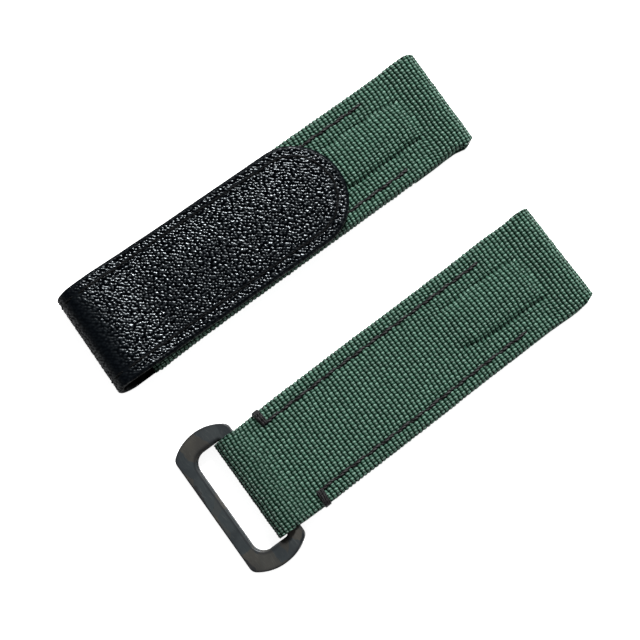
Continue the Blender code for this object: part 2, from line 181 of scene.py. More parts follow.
def gridNormals(points):  # across the surface: the two grid directions crossed
    return unit(np.cross(np.gradient(points, axis=0), np.gradient(points, axis=1)))


def shell(name, outer, inner, rims, half, look, uv=None, values=None):
    # A closed sheet: a fine outer grid, rings round its border, and a coarse inner grid.
    numbers = numbered(outer)
    border = last = rimOf(numbers)
    points, quads = [outer.reshape(-1, 3)], [gridQuads(numbers)]
    for ring in rims:
        fresh = sum(map(len, points)) + np.arange(len(border))
        points.append(rimOf(ring))
        quads.append(np.stack([last, np.roll(last, -1), np.roll(fresh, -1), fresh], axis=-1))
        last = fresh
    inner = inner[::stride, ::stride]
    low = numbered(inner, sum(map(len, points)))
    points.append(inner.reshape(-1, 3))
    quads.append(gridQuads(low)[:, ::-1])
    # every edge of the inner border meets as many edges of the last ring as the stride
    coarse, fine = rimOf(low), np.append(last, last[0])
    after, start = np.roll(coarse, -1), np.arange(len(coarse)) * stride
    tris = [np.stack([after, coarse, fine[start + stride // 2]], axis=-1)]
    for k in range(stride):
        top = coarse if k < stride // 2 else after
        tris.append(np.stack([fine[start + k], fine[start + k + 1], top], axis=-1))
    points, quads, tris = map(np.concatenate, (points, quads, tris))
    quads, tris = outward(points, quads, tris)
    source = np.concatenate([numbers.ravel()] + [border] * len(rims) + [numbers[::stride, ::stride].ravel()])
    uv = outer[..., :2] if uv is None else uv
    shares = {key: share.ravel()[source] for key, share in (values or {}).items()}
    return addMesh(name, place(points, half), quads, tris, look, uv.reshape(-1, 2)[source], shares)


# Material wiring

class Wiring:  # short names for the nodes that a material or the world needs
    def __init__(self, name, owners="materials", shader="Principled BSDF"):
        self.owner = getattr(bpy.data, owners).new(name)
        self.owner.use_nodes = True
        self.tree = self.owner.node_tree
        self.shader = self.tree.nodes[shader]

    def put(self, socket, value):
        if isinstance(value, bpy.types.NodeSocket):
            self.tree.links.new(value, socket)
        elif value is not None:
            socket.default_value = value

    def node(self, kind, *values, **settings):  # its inputs in order, then its settings by name
        made = self.tree.nodes.new(kind)
        for key, value in settings.items():
            setattr(made, key, value)
        for socket, value in zip(made.inputs, values):
            self.put(socket, value)
        return made

    def sum(self, operation, *values, clamp=False):
        return self.node("ShaderNodeMath", *values, operation=operation, use_clamp=clamp).outputs[0]

    def mix(self, share, a, b, how="MIX"):
        made = self.node("ShaderNodeMix", share, data_type="RGBA", blend_type=how)
        self.put(made.inputs[6], (*a, 1.0) if isinstance(a, tuple) else a)
        self.put(made.inputs[7], (*b, 1.0) if isinstance(b, tuple) else b)
        return made.outputs[2]

    def span(self, value, low, high, start=0.0, end=1.0):
        values = value, low, high, start, end
        return self.node("ShaderNodeMapRange", *values, interpolation_type="SMOOTHSTEP").outputs[0]

    def noise(self, vector, scale, detail=2.0, rough=0.5, out="Fac"):
        made = self.node("ShaderNodeTexNoise", vector)
        for key, value in (("Scale", scale), ("Detail", detail), ("Roughness", rough)):
            made.inputs[key].default_value = value
        return made.outputs[out]

    def cells(self, vector, scale, out="Distance"):
        made = self.node("ShaderNodeTexVoronoi", vector)
        made.inputs["Scale"].default_value = scale
        return made.outputs[out]

    def stretched(self, vector, scale, turn=0.0):
        made = self.node("ShaderNodeMapping", vector)
        made.inputs["Scale"].default_value = scale
        made.inputs["Rotation"].default_value = (0.0, 0.0, turn)
        return made.outputs[0]

    def axes(self, vector):
        return self.node("ShaderNodeSeparateXYZ", vector).outputs

    def place(self):
        return self.node("ShaderNodeTexCoord").outputs["Object"]

    def value(self, key):
        return self.node("ShaderNodeAttribute", attribute_name=key).outputs["Fac"]

    def bump(self, height, depth):  # height 0..1, depth in metres
        made = self.node("ShaderNodeBump")
        made.inputs["Strength"].default_value = 1.0
        made.inputs["Distance"].default_value = depth
        self.put(made.inputs["Height"], height)
        self.put(self.shader.inputs["Normal"], made.outputs[0])

    def finish(self, color, rough, **sockets):
        self.put(self.shader.inputs["Base Color"], color)
        self.put(self.shader.inputs["Roughness"], rough)
        for key, value in sockets.items():
            self.put(self.shader.inputs[key.replace("_", " ")], value)
        return self.owner


# Woven nylon: thick cords across the strap, thinner cords along it, over and under by turns

weave = {
    "ribPitch": 0.815, "cordPitch": 0.5775,  # between the cords across, and between those along
    "ribHalf": 0.46, "cordHalf": 0.43,  # half widths as shares of the pitches
    "ribLift": 0.09, "cordLift": 0.17, "ribRound": 0.20, "cordRound": 0.12,  # millimetres
    "ribVaries": 0.16, "cordVaries": 0.22, "liftVaries": 0.6,  # shares
    "ribWander": ((0.16, 5.0, 3.5), (0.09, 1.3, 1.1)), "cordWander": ((0.14, 4.0, 4.0), (0.11, 1.1, 1.4)),
    "skew": -0.092, "crown": 0.27,
}


def weaveCount(u, v, seed):  # path along and across the cloth, in cords, with a little wander
    ribs = u / weave["ribPitch"] + waves(weave["ribWander"], u, v, seed)
    cords = (v + weave["skew"] * u) / weave["cordPitch"] + waves(weave["cordWander"], u, v, seed + 2)
    return ribs, cords


def weaveHeight(ribs, cords):
    # Each cord is a half-round bar whose middle rises and falls as a cosine; the cloth shows the higher one.
    i, j = np.round(ribs), np.round(cords)
    a, b = ribs - i, cords - j
    lift = (1 - 2 * np.mod(i + j, 2)) * (1 + weave["liftVaries"] * (draw(i, j, 13) - 0.5))

    def bar(offset, cord, share):
        fat = weave[cord + "Round"] * (1 + weave[cord + "Varies"] * (share - 0.5))
        return fat * np.sqrt(np.clip(1 - np.square(offset / weave[cord + "Half"]), 0, 1))

    rib = weave["ribLift"] * lift * np.cos(np.pi * b) + bar(a, "rib", draw(i, 0, 11))
    cord = -weave["cordLift"] * lift * np.cos(np.pi * a) + bar(b, "cord", draw(0, j, 12))
    return np.maximum(rib, cord)


def nylonLook():
    look = {
        # the darkest colour is painted shade in the weave's hollows
        "rib": (0.036, 0.094, 0.064), "cord": (0.086, 0.170, 0.127), "hollowShade": (0.0008, 0.0095, 0.0043),
        "rough": 0.45, "tint": 0.44, "hair": 1.1, "hairRise": 0.10, "heightRise": 5.0, "depth": 0.00016,
        "gapFrom": 0.25, "gapFromOnCords": 0.12, "gapWide": 0.17, "line": 0.11, "low": (0.11, 0.24),
    }
    w = Wiring("greenNylonWeave")
    uv = w.node("ShaderNodeUVMap", uv_map="weave").outputs[0]
    ribs, cords, _ = w.axes(uv)
    i, j = w.sum("ROUND", ribs), w.sum("ROUND", cords)
    a, b = w.sum("SUBTRACT", ribs, i), w.sum("SUBTRACT", cords, j)
    odd = w.sum("FLOORED_MODULO", w.sum("ADD", i, j), 2.0)
    sign = w.sum("MULTIPLY_ADD", odd, -2.0, 1.0)

    def bar(offset, cord):  # the same half-round bars as in weaveHeight
        square = w.sum("POWER", w.sum("DIVIDE", w.sum("ABSOLUTE", offset), weave[cord + "Half"]), 2.0)
        share = w.sum("SQRT", w.sum("SUBTRACT", 1.0, square, clamp=True))
        return w.sum("MULTIPLY", share, weave[cord + "Round"])

    def wave(offset):
        return w.sum("MULTIPLY", sign, w.sum("COSINE", w.sum("MULTIPLY", offset, math.pi)))

    rib = w.sum("MULTIPLY_ADD", wave(b), weave["ribLift"], bar(a, "rib"))
    cord = w.sum("MULTIPLY_ADD", wave(a), -weave["cordLift"], bar(b, "cord"))
    height = w.sum("MAXIMUM", rib, cord)
    apart = w.sum("SUBTRACT", cord, rib)
    onTop = w.span(apart, -0.015, 0.015)  # 1 where a cord along the strap shows, 0 where a rib does
    tint = w.node("ShaderNodeTexWhiteNoise", w.node("ShaderNodeCombineXYZ", i, j).outputs[0]).outputs[0]
    # filaments run along each cord
    ribHair = w.noise(w.stretched(uv, (13.0, 1.6, 1.0)), 1.0, 3.0, 0.6)
    cordHair = w.noise(w.stretched(uv, (1.6, 10.0, 1.0)), 1.0, 3.0, 0.6)
    hair = w.sum("MULTIPLY_ADD", onTop, w.sum("SUBTRACT", cordHair, ribHair), ribHair)
    shade = w.sum("MULTIPLY_ADD", tint, look["tint"], w.sum("MULTIPLY_ADD", hair, look["hair"], 0.27))
    # painted highlight: the cords along the strap are coloured lighter than the ribs, standing in for the
    # glint on their tight crowns
    crown = w.mix(1.0, w.mix(onTop, look["rib"], look["cord"]), shade, "MULTIPLY")
    # the colour is darker towards the loop end, by the tone listed along each half
    crown = w.mix(1.0, crown, w.value("tone"), "MULTIPLY")
    # painted shade: dark gaps between the ribs, a thin dark line where one cord dives under another, and
    # darker colour where the cloth lies low; the gloss drops there too
    start = w.sum("MULTIPLY_ADD", onTop, look["gapFromOnCords"], look["gapFrom"])
    gap = w.span(w.sum("ABSOLUTE", a), start, w.sum("ADD", start, look["gapWide"]), 1.0, 0.0)
    line = w.span(w.sum("ABSOLUTE", apart), 0.0, look["line"], 0.12, 1.0)
    unshaded = w.sum("MULTIPLY", w.sum("MULTIPLY", gap, line), w.span(height, *look["low"]))
    raised = w.sum("MULTIPLY", height, look["heightRise"])
    w.bump(w.sum("MULTIPLY_ADD", hair, look["hairRise"], raised), look["depth"])
    gloss = w.span(unshaded, 0.1, 1.0, 0.02, 0.42)
    color = w.mix(unshaded, look["hollowShade"], crown)
    return w.finish(color, look["rough"], Specular_IOR_Level=gloss, Sheen_Weight=0.03, Sheen_Roughness=0.4)


greenNylon = nylonLook()

cloth = {
    "edgeRadius": 0.9, "wall": 0.6, "rimFall": 0.35, "step": 0.163,
    "flatColumns": 63, "arcColumns": 10, "wallColumns": 9,  # on each side of the middle
    "channel": 0.22, "channelHalf": 0.5, "seamEnd": -12.2,  # the furrow that a seam pulls
    "margin": 8.75, "marginHalf": 0.6, "marginRise": 0.05,  # the swelling between seam and edge
    "waves": ((0.05, 6.0, 5.0), (0.03, 2.6, 2.2)),
}


def across(half, drop):  # widths and falls of each row's columns on one side, out from the middle
    r = cloth["edgeRadius"]
    arcs = np.linspace(0, math.pi / 2, cloth["arcColumns"] + 1)[1:]
    flat = np.linspace(0, 1, cloth["flatColumns"] + 1)
    wall = np.linspace(0, 1, cloth["wallColumns"] + 1)[1:]
    down = np.minimum(1.0, drop / r)
    out = np.concatenate([np.sin(arcs), np.ones(len(wall))])
    spread = np.arange(1, len(out) + 1) / len(out)
    y = np.concatenate([flat * (half - r), half - r + r * (down * out + (1 - down) * spread)], axis=1)
    falls = 0 * flat * half, r * down * (1 - np.cos(arcs)), r * down + np.maximum(drop - r, 0) * wall
    return y, np.concatenate(falls, axis=1)


def tongue(x, y, pad):
    # The padded tongue: a crown, 1 - |share|^3 across, eased in along the strap, with a crease at its foot.
    far, near = along(pad["far"], x), along(pad["near"], x)
    share = (2 * y - far - near) / (far - near)
    inside = np.minimum(far - y, y - near)
    length = ease((-lug["band"] + 1.5 - x) / 3.0) * ease((x - pad["rear"]) / 5.0)
    crown = np.power(np.clip(1 - np.power(np.abs(share), 3), 0, 1), 0.85)
    held = ease((-6.4 - x) / 1.5) * ease((x - pad["rear"] - 1.0) / 3.0)
    return pad["rise"] * length * crown - pad["crease"] * bell((inside + 0.05) / 0.28) * held


def coverTop(x, y, piece):  # height of the cloth: strap, tunnel, loop, tongue, seam channels, soft waves
    tunnel = 1 - ease((-x - lug["radius"]) / (lug["band"] - lug["radius"]))
    z = lug["thick"] + (2 * lug["radius"] - lug["thick"]) * tunnel
    if "loop" in piece:
        loop = piece["loop"]
        z = z + (2 * loop["radius"] - lug["thick"]) * ease((loop["rampEnd"] - x) / loop["ramp"])
    z = z + tongue(x, y, piece["pad"])
    for side in ("far", "near"):
        seamY = along(piece["seams"][side], x)
        held = ease((x - piece["seamStart"]) / 1.5) * ease((cloth["seamEnd"] - x) / 1.5)
        margin = bell((np.abs(y) - cloth["margin"]) / cloth["marginHalf"]) * (y * seamY > 0)
        channel = bell((y - seamY) / cloth["channelHalf"])
        z = z - cloth["channel"] * held * channel + cloth["marginRise"] * held * margin
    return waves(cloth["waves"], x, y, piece["seed"], 5, z)


def coverStations(piece):
    # Rows of the sheet from the hem round the tunnel to the other end: x, z, and 1 where a row lies on top.
    step, r = cloth["step"], lug["radius"]
    rows = []

    def run(start, end, pace, low, top):  # straight rows at one height, up to but without the last
        x = np.linspace(start, end, round(abs(end - start) / pace) + 1)
        rows.append(pointsOf(x, low, top))

    def turn(centre, middle, radius, degrees, count):  # rows round an arc
        angle = np.radians(np.linspace(*degrees, count + 1))
        rows.append(pointsOf(centre + radius * np.cos(angle), middle + radius * np.sin(angle), 0.0))

    run(-lug["hem"], -r, 2 * step, 0.0, 0.0)
    turn(-r, r, r, (-90, 90), round(math.pi * r / step))
    if "loop" in piece:
        size, centre = piece["loop"]["radius"], piece["loop"]["centre"]
        run(-r, centre, step, 0.0, 1.0)
        turn(centre, size, size, (90, 270), round(math.pi * size / step))
        run(centre, piece["loop"]["returnEnd"], 2 * step, 0.0, 0.0)
    else:
        end = piece["blunt"]
        middle = lug["thick"] - end["radius"]
        run(-r, end["x"] + end["radius"], step, 0.0, 1.0)
        turn(end["x"] + end["radius"], middle, end["radius"], (90, 180), 8)
        rows.append(pointsOf(end["x"], np.linspace(middle, end["foot"], 5), 0.0))
    rows = np.concatenate([part[:-1] for part in rows[:-1]] + rows[-1:])
    spare = (len(rows) - 1) % stride
    keep = np.ones(len(rows), bool)
    keep[1:1 + 2 * spare:2] = False  # drops rows in the hidden hem, so that the inner grid comes out even
    return rows[keep].T


def nylonCover(name, half, piece):
    x, z, top = coverStations(piece)[..., None]
    drop = along(piece["drops"], x) * (top > 0)
    sides = [across(along(piece["edges"][side], x), drop) for side in ("far", "near")]
    (farY, farFall), (nearY, nearFall) = sides
    y = np.concatenate([farY[:, ::-1], -nearY[:, 1:]], axis=1)
    fall = np.concatenate([farFall[:, ::-1], nearFall[:, 1:]], axis=1)
    # neither end is quite square, and the layer underneath has its own share of each slant
    share = np.where(top > 0, along(piece["slantShare"]["top"], x), along(piece["slantShare"]["under"], x))
    lugShare = np.where(top > 0, ease((x + 5.0) / 3.0), x > -2.5)
    xs = x + (piece["slant"] * share + piece["lugSlant"] * lugShare) * y
    height = np.where(top > 0, coverTop(xs, y, piece) - fall, z)
    base = pointsOf(xs, y, np.maximum(height, 0.0))
    middle = base.shape[1] // 2
    u, v = distance(base[:, middle])[:, None], distance(base, axis=1)
    ribs, cords = weaveCount(u + 0 * v, v[:, middle:middle + 1] - v, piece["seed"])
    normal = gridNormals(base)
    outer = base + normal * (weaveHeight(ribs, cords) - weave["crown"])[..., None]
    inner, rim = base - normal * cloth["wall"], base - normal * cloth["rimFall"]
    uv, tone = np.stack([ribs, cords], axis=-1), along(piece["tone"], xs)
    made = shell(name, outer, inner, [rim], half, greenNylon, uv, {"tone": tone})
    print(name, len(made.data.polygons), "faces")
    return made


shortCover = {
    "seed": 3,
    "edges": {
        "far": [
            (-69, 9.70), (-66.5, 9.72), (-63.5, 9.78), (-60.5, 9.98), (-57, 10.18), (-40, 10.16),
            (-29, 10.05), (-18, 10.0), (-10, 10.1), (-8, 10.06), (-5, 9.92), (-3, 10.0), (-1.9, 9.85),
            (-0.9, 9.75), (0, 9.45),
        ],
        "near": [
            (-69, 9.75), (-66.5, 9.85), (-63.5, 10.02), (-60.5, 10.10), (-57, 10.16), (-33, 10.12),
            (-25, 9.98), (-17, 10.0), (-10, 9.98), (-8, 10.06), (-5, 10.2), (-3.5, 10.18), (-1.9, 9.9),
            (0, 9.3),
        ],
    },
    "drops": [
        (-69, 0.0), (-66.2, 0.0), (-64.0, 1.6), (-62.0, 2.6), (-57.0, 2.5), (-55.5, 2.6), (-14.0, 2.6),
        (-12.5, 1.9), (-8.0, 1.9), (-5.0, 2.2), (-3.2, 0.9), (-1.9, 0.0), (0, 0.0),
    ],
    "slant": 0.028, "lugSlant": 0.014,
    "slantShare": {
        "top": [(-69, 1.0), (-35, 1.0), (-8, 0.0)], "under": [(-69, 1.0), (-65.98, 1.0), (-60.8, 0.0)],
    },
    "seams": {
        "far": [(-59, 7.5), (-45, 7.55), (-30, 7.35), (-12.7, 7.2)],
        "near": [(-59, -7.45), (-40, -7.6), (-13, -7.5)],
    },
    "seamStart": -59.5, "tone": [(-69, 0.64), (-64.5, 0.70), (-60.5, 0.95), (-56, 1.0), (0, 1.0)],
    "pad": {
        "far": [(-26, 3.9), (-23.8, 4.2), (-20, 4.4), (-14, 4.4), (-9, 4.0), (-5, 3.3)],
        "near": [(-27, -1.6), (-24.3, -3.0), (-21, -3.9), (-17, -4.3), (-8, -4.65), (-5, -4.7)],
        "rear": -26.5, "rise": 0.80, "crease": 0.30,
    },
    "loop": {"radius": 2.2134, "centre": -66.6866, "rampEnd": -60.7866, "ramp": 5.2, "returnEnd": -56.4},
}

longCover = {
    "seed": 9,
    "edges": {
        "far": [
            (-70, 9.9), (-40, 9.9), (-20.6, 9.85), (-12, 9.78), (-8, 9.8), (-5.5, 9.9), (-4, 9.86),
            (-3, 9.75), (-1.9, 9.5), (-1, 9.35), (0, 8.95),
        ],
        "near": [
            (-70, 10.55), (-65, 10.32), (-61, 10.2), (-57, 10.1), (-49, 10.0), (-37, 9.9), (-14, 9.78),
            (-9, 9.75), (-6, 9.6), (-4, 9.62), (-3, 9.85), (-2, 10.0), (-1, 9.8), (0, 9.4),
        ],
    },
    "drops": [
        (-70, 0.0), (-69.4, 0.0), (-68.6, 2.6), (-14.0, 2.6), (-12.5, 1.9), (-8.0, 1.9), (-5.0, 2.2),
        (-3.2, 0.9), (-1.9, 0.0), (0, 0.0),
    ],
    "slant": 0.0, "lugSlant": 0.02,
    "slantShare": {"top": [(-70, 0.0), (0, 0.0)], "under": [(-70, 0.0), (0, 0.0)]},
    "seams": {"far": [(-70, 7.4), (-12.7, 7.1)], "near": [(-70, -7.4), (-12.9, -7.35)]},
    "seamStart": -68.0, "tone": [(-70, 1.0), (0, 1.0)],
    "pad": {
        "far": [(-27, 4.3), (-20, 4.45), (-12, 4.4), (-8, 3.9), (-5, 3.4)],
        "near": [(-27, -3.6), (-22, -4.1), (-8, -4.1), (-5, -4.1)],
        "rear": -26.5, "rise": 0.80, "crease": 0.30,
    },
    "blunt": {"x": -69.6, "radius": 0.9, "foot": 1.3},
}

dress(nylonCover("shortNylon", "short", shortCover), "short_half", "short_nylon_cover")
dress(nylonCover("longNylon", "long", longCover), "long_half", "long_nylon_cover")
print("nylon covers made")


# Pebbled leather: the tail's base, its bend and the flap share one grain, laid out on the path round the fold

leather = {
    "thick": 1.1, "step": 0.12, "cell": (0.48, 0.49), "lean": -0.68, "bump": (0.22, 0.15), "depth": 0.15,
    "wander": 0.15, "jitter": 0.66, "uneven": 0.15, "smooth": 0.38,
    "edge": 0.22, "rounds": (0.22, 0.55, 0.88),  # how far the cut edge is drawn in, and its rings' falls
    "far": [
        (-76.6, 9.6), (-73.5, 9.8), (-69, 9.92), (-65, 9.9), (-61, 9.82), (-57, 9.7), (-53, 9.6), (-45, 9.5),
        (-37, 9.35), (-31, 9.28),
    ],
    "near": [(-76.6, -9.85), (-57, -9.88), (-45, -9.95), (-31, -10.0)],
}
fold = {"x": -73.5, "radius": 3.1, "slant": 0.022, "nearLow": -10.3, "grain": 41}


def foldSlant(points):  # the fold isn't quite square: x moves with y, fading out ahead of the fold
    x, y, z = np.moveaxis(points, -1, 0)
    return pointsOf(x + fold["slant"] * y * ease((-69.5 - x) / 4.0), y, z)


def pebbles(u, v, seed):
    # Gauss bumps round jittered points in leaning rows, each row pushed along by its own share.
    turn, (long, wide), (length, width) = leather["lean"], leather["cell"], leather["bump"]
    a = (u * math.cos(turn) + v * math.sin(turn)) / long
    b = (v * math.cos(turn) - u * math.sin(turn)) / wide
    a = a + leather["wander"] * drift(u / 2.6, v / 2.6, seed + 1)
    b = b + leather["wander"] * drift(u / 2.4, v / 2.4, seed + 2)
    height = np.zeros(a.shape)
    for step in (-1, 0, 1):
        row = np.floor(b) + step
        slide = draw(row, 0, seed + 6)
        for i in (np.floor(a - slide) + k for k in (-1, 0, 1)):
            x = i + slide + 0.5 + leather["jitter"] * (draw(i, row, seed + 3) - 0.5)
            y = row + 0.5 + leather["jitter"] * (draw(i, row, seed + 4) - 0.5)
            tall = 1 - leather["uneven"] * draw(i, row, seed + 5)
            height += tall * bell((a - x) * long / length) * bell((b - y) * wide / width)
    return height / (1 + 0.1 * np.maximum(height - 0.3, 0))


def leatherLook():
    look = {
        "skin": (0.0012, 0.0025, 0.0042), "hollowShade": (0.0002, 0.0003, 0.0006), "dust": (0.0030, 0.0038, 0.0050),
        "rough": 0.27, "tint": (0.88, 0.96, 1.0, 1.0), "depth": 0.000004,
        # gloss levels that even out the key lamp's glints, painted highlight in the middle and painted shade
        # at the tip: from and to along the strap in metres, and the gloss before and after
        "paintedGlintLevels": [
            (-0.0370, -0.0335, 1.3, 1.0), (-0.0315, -0.0225, 0.75, 1.16), (-0.0195, -0.0035, 1.0, 0.88),
            (0.0055, 0.0135, 1.0, 0.66),
        ],
    }
    w = Wiring("blackPebbledLeather")
    spot, grain = w.place(), w.value("grain")
    fine = w.noise(spot, 5200.0, 3.0, 0.6)
    # painted shade: low in the grain the colour goes near black, and the gloss below fades out there as well
    color = w.mix(w.span(grain, 0.12, 0.6), look["hollowShade"], look["skin"])
    color = w.mix(w.sum("MULTIPLY", w.noise(spot, 420.0), 0.25), color, look["dust"])
    w.bump(fine, look["depth"])
    facing, ahead = w.node("ShaderNodeLayerWeight").outputs["Facing"], w.axes(spot)["X"]
    gloss = w.span(grain, 0.16, 0.74, 0.0, 0.76)
    gloss = w.sum("MULTIPLY", gloss, w.span(facing, 0.18, 0.55, 1.0, 0.22))  # a low view doesn't glare
    # painted highlight and shade: the gloss steps along the strap to even out the lamp's falloff
    for start, end, before, after in look["paintedGlintLevels"]:
        gloss = w.sum("MULTIPLY", gloss, w.span(ahead, start, end, before, after))
    rough = w.sum("MULTIPLY_ADD", fine, 0.06, look["rough"])
    return w.finish(color, rough, Specular_IOR_Level=gloss, Specular_Tint=look["tint"])


blackLeather = leatherLook()

flap = {
    "length": 50.4, "tip": 9.4, "seam": 1.95, "groove": 0.04, "grooveHalf": 0.45, "rows": 432, "columns": 200,
    "seamFar": [(0, 7.95), (13.5, 7.95), (33.5, 7.65), (38.5, 7.4)],
    "seamNear": [(0, -7.65), (23.5, -7.7), (38.5, -7.9)],
    "low": 3.9, "settle": 11.5, "dipFrom": 44.8, "dipRun": 5.5, "dip": 0.6,  # how it lies on the tapes
    "crease": 0.025, "creaseIn": 0.45, "creaseHalf": 0.13, "edgeFall": 0.14, "edgeRun": 0.5,
    "waves": ((0.04, 5.0, 4.0), (0.015, 2.0, 1.8)),
}


def flapUnder(ahead):  # height of the flap's underside ahead of the fold's axis
    high = 2 * fold["radius"] - leather["thick"]
    tip = ease((ahead - flap["dipFrom"]) / flap["dipRun"])
    return high + (flap["low"] - high) * ease(ahead / flap["settle"]) - flap["dip"] * tip


def flapSides(x, inset):  # the flap's far and near edge at a place along it
    return along(leather["far"], x) - inset, along(leather["near"], x) + inset


def flapPlan(inset):  # rows ahead from the fold, columns across: nearly straight sides, then a round tip
    k = 0.95 * math.pi / 2
    side = np.sin(k * np.linspace(1, -1, flap["columns"] + 1)) / math.sin(k)
    reach = flap["length"] - flap["tip"] + (flap["tip"] - inset) * np.sqrt(np.clip(1 - np.square(side), 0, 1))
    ahead = np.linspace(0, 1, flap["rows"] + 1)[:, None] * reach
    far, near = flapSides(fold["x"] + ahead, inset)
    return ahead, (far + near) / 2 + (far - near) / 2 * side


def seamGap(ahead, y):  # how far a point is from the row of stitches round the flap, less than 0 inside it
    far, near = flapSides(fold["x"] + ahead, 0.0)
    middle = (far + near) / 2
    farInset, nearInset = along(flap["seamFar"], ahead) - middle, middle - along(flap["seamNear"], ahead)
    inset = np.where(y > middle, farInset, nearInset)
    beyond = np.maximum(ahead - flap["length"] + flap["tip"], 0.0) / (flap["tip"] - flap["seam"])
    return (np.hypot(beyond, (y - middle) / inset) - 1) * inset


def edgeGap(ahead, y):  # how far a point is inside the flap's outline
    far, near = flapSides(fold["x"] + ahead, 0.0)
    beyond = np.maximum(ahead - flap["length"] + flap["tip"], 0.0) / flap["tip"]
    return (1 - np.hypot(beyond, (2 * y - far - near) / (far - near))) * (far - near) / 2


def flapTop(ahead, y):
    # The flap's top without its grain: settled profile, stitch groove, a crease by the edge, slow waves.
    edge = edgeGap(ahead, y)
    z = flapUnder(ahead) + leather["thick"] - flap["groove"] * bell(seamGap(ahead, y) / flap["grooveHalf"])
    z = z + flap["crease"] * ease(ahead / 3.0) * bell((edge - flap["creaseIn"]) / flap["creaseHalf"])
    z = waves(flap["waves"], ahead, y, 31, start=z)
    return z - flap["edgeFall"] * (1 - ease(edge / flap["edgeRun"]))


def grainRise(grain, calm):  # the smooth parts lie level with the middle of the pebbles' height
    return leather["depth"] * ((grain - 0.5) * calm - 0.25)


def grainCalm(ahead, y):  # 1 for full grain; it is flatter in the groove, at the edge and at the fold
    near = ease((np.abs(seamGap(ahead, y)) - 0.1) / 0.4)
    edge = ease((edgeGap(ahead, y) - 0.5) / 0.35)
    return (0.08 + 0.92 * near) * (0.25 + 0.75 * edge) * (0.10 + 0.90 * ease((ahead + 1.6) / 6.2))


def leatherShell(name, outer, inner, rims, uv, grain, calm):
    outer, inner, rims = foldSlant(outer), foldSlant(inner), [foldSlant(ring) for ring in rims]
    shares = {"grain": leather["smooth"] + (grain - leather["smooth"]) * calm}
    made = shell(name, outer, inner, rims, "long", blackLeather, uv, shares)
    made.data.set_sharp_from_angle(angle=math.radians(75))  # the cut ends where flap and bend meet
    return made


def leatherFlap():
    ahead, y = flapPlan(leather["edge"])
    path = ahead + math.pi * fold["radius"]
    grain, calm = pebbles(path, y, fold["grain"]), grainCalm(ahead, y)
    base = pointsOf(fold["x"] + ahead, y, flapTop(ahead, y))
    outer = base - gridNormals(base) * grainRise(grain, calm)[..., None]  # this grid's normals point down
    rimAhead, rimY = flapPlan(0.0)
    heights = [flapUnder(rimAhead) + leather["thick"] * (1 - drop) for drop in leather["rounds"]]
    rims = [pointsOf(fold["x"] + rimAhead, rimY, height) for height in heights]
    inner = pointsOf(fold["x"] + ahead, y, flapUnder(ahead))
    return leatherShell("leatherFlapSkin", outer, inner, rims, np.stack([path, y], axis=-1), grain, calm)


def leatherBend():
    radius, columns = fold["radius"], 176
    rows = round(math.pi * radius / leather["step"] / stride) * stride
    share = np.linspace(0, 1, rows + 1)[:, None]
    angle = -math.pi / 2 - math.pi * share  # under, left, top
    side = np.linspace(1, -1, columns + 1)
    pinch = 0.20 * np.sin(np.pi * share)
    far = along(leather["far"], fold["x"]) - pinch
    near = fold["nearLow"] + (along(leather["near"], fold["x"]) - fold["nearLow"]) * ease(share) + 0.5 * pinch

    def layer(size, inset):
        x = fold["x"] + size * np.cos(angle) + 0.25 * (share == 0)  # the first row reaches on to the lining
        y = (far + near) / 2 + ((far - near) / 2 - inset) * side
        return pointsOf(x, y, radius + size * np.sin(angle))

    base = layer(radius, leather["edge"])
    y = base[..., 1]
    path = math.pi * radius * share + 0 * y
    grain = pebbles(path, y, fold["grain"])
    farSeam, nearSeam = flap["seamFar"][0][1], flap["seamNear"][0][1]
    groove = bell((y - farSeam) / flap["grooveHalf"]) + bell((y - nearSeam) / flap["grooveHalf"])
    calm = 0.10 + 0.80 * bell((share - 0.58) / 0.17) + 0.15 * ease((share - 0.84) / 0.16)
    calm = calm * (1 - 0.8 * groove)
    relief = grainRise(grain, calm) - flap["groove"] * groove * ease(share * 3)
    outer = base + pointsOf(np.cos(angle), 0, np.sin(angle)) * relief[..., None]
    rims = [layer(radius - leather["thick"] * drop, 0.0) for drop in leather["rounds"]]
    inner = layer(radius - leather["thick"], leather["edge"])
    return leatherShell("leatherBendSkin", outer, inner, rims, np.stack([path, y], axis=-1), grain, calm)


def liningSlab(name, half, x0, x1, far, near, top, seed):
    # Leather under a half: fine grid on the table side, rounded long edges, plain upper face.
    rows, columns = round((x1 - x0) / 0.3 / stride) * stride, 64
    x = np.linspace(x0, x1, rows + 1)[:, None]
    side = np.linspace(1, -1, columns + 1)
    far, near, top = along(far, x), along(near, x), along(top, x)
    middle, wide = (far + near) / 2, (far - near) / 2
    y = middle + (wide - 0.2) * side
    grain = pebbles(0 * y - x, y, seed)
    outer = foldSlant(pointsOf(x, y, 0.02 + 0.09 * (1 - grain)))
    rims = [foldSlant(pointsOf(x, middle + wide * side, top * drop)) for drop in (0.25, 0.8)]
    upper = foldSlant(pointsOf(x, y, top))
    return shell(name, outer, upper, rims, half, blackLeather, values={"grain": grain})


